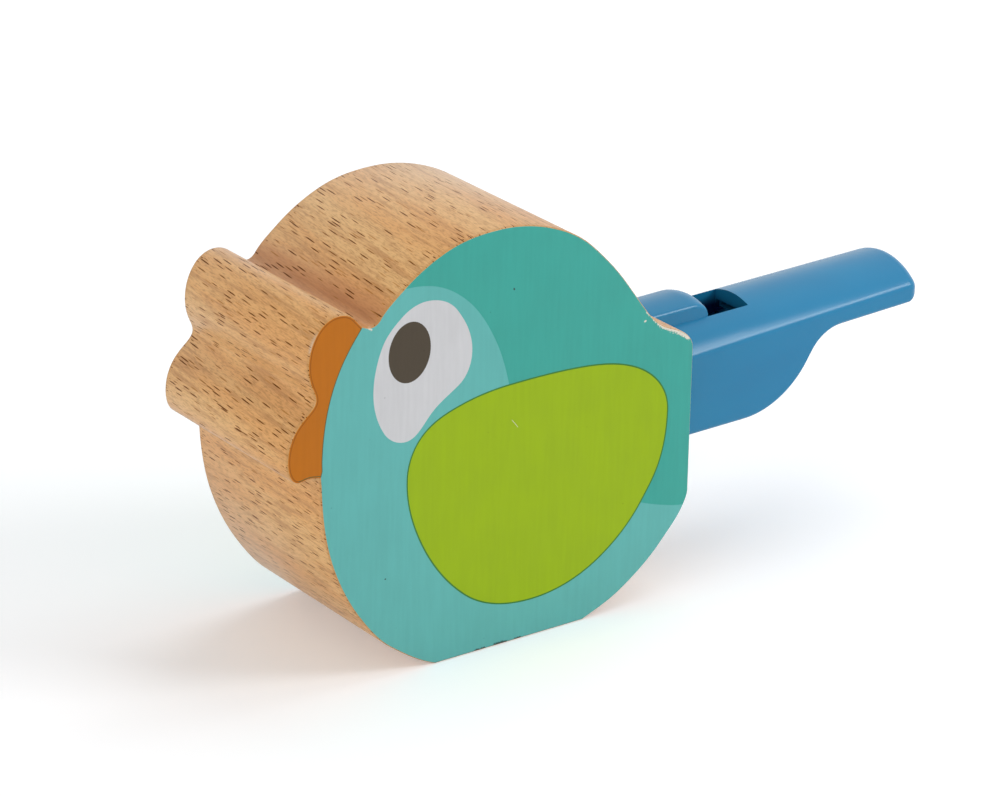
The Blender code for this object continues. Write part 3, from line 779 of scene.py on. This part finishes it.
window_end = LIP_BLOCK_LENGTH + WINDOW_LENGTH
past_spigot = -2.0 * SPIGOT_LENGTH
windway_low = LIP_ABOVE_AXIS - WINDWAY_HEIGHT / 2.0
windway_high = LIP_ABOVE_AXIS + WINDWAY_HEIGHT / 2.0
for name, shape, operation in (
    ("spigot", rod(SPIGOT_RADIUS, -SPIGOT_LENGTH, SPIGOT_RADIUS), "UNION"),
    ("lip_block", moved_to_wall(lofted(lip_sections)), "UNION"),
    ("bore", rod(BORE_RADIUS, past_spigot, window_end + CHAMBER_OVERRUN), "DIFFERENCE"),
    ("channel", bar(past_spigot, window_end, WINDOW_HALF_WIDTH, 0.0, LIP_ABOVE_AXIS), "DIFFERENCE"),
    ("window", bar(LIP_BLOCK_LENGTH, window_end, WINDOW_HALF_WIDTH, 0.0, 2.0 * CROWN_RADIUS), "DIFFERENCE"),
    ("windway", bar(window_end - CHAMBER_OVERRUN, TAIL_LENGTH + TIP_ROUNDING, WINDWAY_HALF_WIDTH,
                    windway_low, windway_high), "DIFFERENCE"),
):
    worked(mouthpiece, add_helper(name, shape), operation)


# The moulding's plastic is semi-gloss blue with a fine skin and slight flow shading. Inside the
# sound window and the bore its colour is painted nearly black: painted shade, as little light gets in there.

SKIN_CELL = (0.00025, 0.00025, 0.00025)
SKIN_RELIEF = 0.00002
FLOW_CELL = (0.012, 0.006, 0.006)
# The box inside the sound window and the bore where the blue is painted nearly black as painted shade.
HOLLOW_HALF_WIDTH = 0.00395
HOLLOW_FADE = 0.0001
HOLLOW_TOP = 0.0072
HOLLOW_DEEP = 0.0052
HOLLOW_FLOOR = -0.0058
HOLLOW_END_X = 0.0498
DEEPER_BLUE = (0.012, 0.196, 0.392)
LIGHTER_BLUE = (0.012, 0.216, 0.420)
HOLLOW_PAINTED_SHADE = (0.003, 0.010, 0.060)

blue_plastic, tree, shader = new_material("blue_plastic")
skin = noise(tree, in_cells(tree, SKIN_CELL), detail=2.0, roughness=0.5)
flow = noise(tree, in_cells(tree, FLOW_CELL), detail=1.0, roughness=0.5)
tone = mixed(tree, band(tree, flow, 0.1, 0.9), DEEPER_BLUE, LIGHTER_BLUE)
x, y, z = object_axes(tree)
sideways = math_node(tree, "ABSOLUTE", y)
painted_hollow_shade = band(tree, sideways, HOLLOW_HALF_WIDTH, HOLLOW_HALF_WIDTH + HOLLOW_FADE, 1.0, 0.0)
for limit in (band(tree, z, SOCKET_AXIS_Z + HOLLOW_DEEP, SOCKET_AXIS_Z + HOLLOW_TOP, 1.0, 0.0),
              math_node(tree, "GREATER_THAN", z, SOCKET_AXIS_Z + HOLLOW_FLOOR),
              math_node(tree, "LESS_THAN", x, HOLLOW_END_X)):
    painted_hollow_shade = math_node(tree, "MULTIPLY", painted_hollow_shade, limit)
# Painted shade: the base colour turns nearly black inside the window and the bore.
tree.links.new(mixed(tree, painted_hollow_shade, tone, HOLLOW_PAINTED_SHADE), shader.inputs["Base Color"])
tree.links.new(band(tree, skin, 0.3, 0.7, 0.240, 0.252), shader.inputs["Roughness"])
shader.inputs["Specular IOR Level"].default_value = 0.36
add_bump(tree, shader, skin, 0.06, SKIN_RELIEF)

mouthpiece.data.materials.clear()
mouthpiece.data.materials.append(blue_plastic)
mouthpiece.data.shade_smooth()
mouthpiece.data.set_sharp_from_angle(angle=math.radians(32.0))
flat_sides = mouthpiece.modifiers.new("flat_sides", "WEIGHTED_NORMAL")
flat_sides.mode = "FACE_AREA"
flat_sides.keep_sharp = True


# The studio: a pale floor that takes the whistle's shadow and fades to white further out, a white
# backdrop, four soft square lamps, and the camera, which looks down a little on the near face.

FLOOR_HALF = 3.0
FLOOR_LIT_REACH = 0.20
FLOOR_FADE_REACH = 0.50
FLOOR_GLOW = 0.205
FLOOR_TONE = (0.95, 0.95, 0.95)
FLOOR_TONE_SEEN = (0.885, 0.905, 0.925)
WHITE = (1.0, 1.0, 1.0)
AMBIENT_LEVEL = 0.46

floor_shape = bmesh.new()
bmesh.ops.create_grid(floor_shape, x_segments=1, y_segments=1, size=FLOOR_HALF)
floor_mesh = bpy.data.meshes.new("floor")
floor_shape.to_mesh(floor_mesh)
floor_shape.free()
floor = bpy.data.objects.new("floor", floor_mesh)
bpy.context.scene.collection.objects.link(floor)
pale_floor, tree, shader = new_material("pale_floor")
seen = add_node(tree, "ShaderNodeLightPath").outputs["Is Camera Ray"]
distance = vector_node(tree, "LENGTH", object_place(tree)).outputs["Value"]
glow = band(tree, distance, FLOOR_LIT_REACH, FLOOR_FADE_REACH, FLOOR_GLOW, 1.0)
tree.links.new(mixed(tree, seen, FLOOR_TONE, FLOOR_TONE_SEEN), shader.inputs["Base Color"])
tree.links.new(math_node(tree, "MULTIPLY", seen, glow), shader.inputs["Emission Strength"])
plug(tree, shader.inputs["Emission Color"], WHITE)
shader.inputs["Roughness"].default_value = 0.9
shader.inputs["Specular IOR Level"].default_value = 0.0
floor.data.materials.append(pale_floor)

studio = bpy.data.worlds.new("studio")
bpy.context.scene.world = studio
studio.use_nodes = True
tree = studio.node_tree
backdrop = tree.nodes["Background"]
plug(tree, backdrop.inputs["Color"], WHITE)
light_path = add_node(tree, "ShaderNodeLightPath").outputs
seen = math_node(tree, "MAXIMUM", light_path["Is Camera Ray"], light_path["Is Glossy Ray"])
seen = math_node(tree, "MAXIMUM", seen, light_path["Is Transmission Ray"])
tree.links.new(band(tree, seen, 0.0, 1.0, AMBIENT_LEVEL, 1.0), backdrop.inputs["Strength"])

LAMP_TARGET = Vector((0.02, 0.0, 0.03))


def add_soft_light(name, place, size, power):
    """A square lamp that faces the whistle."""
    lamp = bpy.data.lights.new(name, "AREA")
    lamp.shape = "SQUARE"
    lamp.size = size
    lamp.energy = power
    holder = bpy.data.objects.new(name, lamp)
    bpy.context.scene.collection.objects.link(holder)
    holder.location = place
    holder.rotation_mode = "QUATERNION"
    holder.rotation_quaternion = (LAMP_TARGET - Vector(place)).to_track_quat("-Z", "Y")
    return holder


overhead = add_soft_light("overhead", (0.42, 0.12, 0.80), 0.65, 2.5)
overhead.visible_glossy = False
add_soft_light("front", (-0.20, -1.00, 0.45), 0.70, 0.3)
add_soft_light("left", (-0.95, -0.15, 0.28), 0.70, 4.2)
add_soft_light("strip", (0.50, -0.50, 0.52), 0.33, 2.6)

CAMERA_PLACE = (-0.31194, -0.43575, 0.25170)
CAMERA_TILT = math.radians(67.6085)
CAMERA_ROLL = math.radians(-1.0290)
CAMERA_HEADING = math.radians(-35.9116)

camera_data = bpy.data.cameras.new("camera")
camera_data.sensor_width = 36.0
camera_data.lens = 152.784
camera = bpy.data.objects.new("camera", camera_data)
bpy.context.scene.collection.objects.link(camera)
camera.location = CAMERA_PLACE
camera.rotation_euler = (CAMERA_TILT, CAMERA_ROLL, CAMERA_HEADING)
bpy.context.scene.camera = camera
bpy.context.scene.view_settings.view_transform = "Standard"
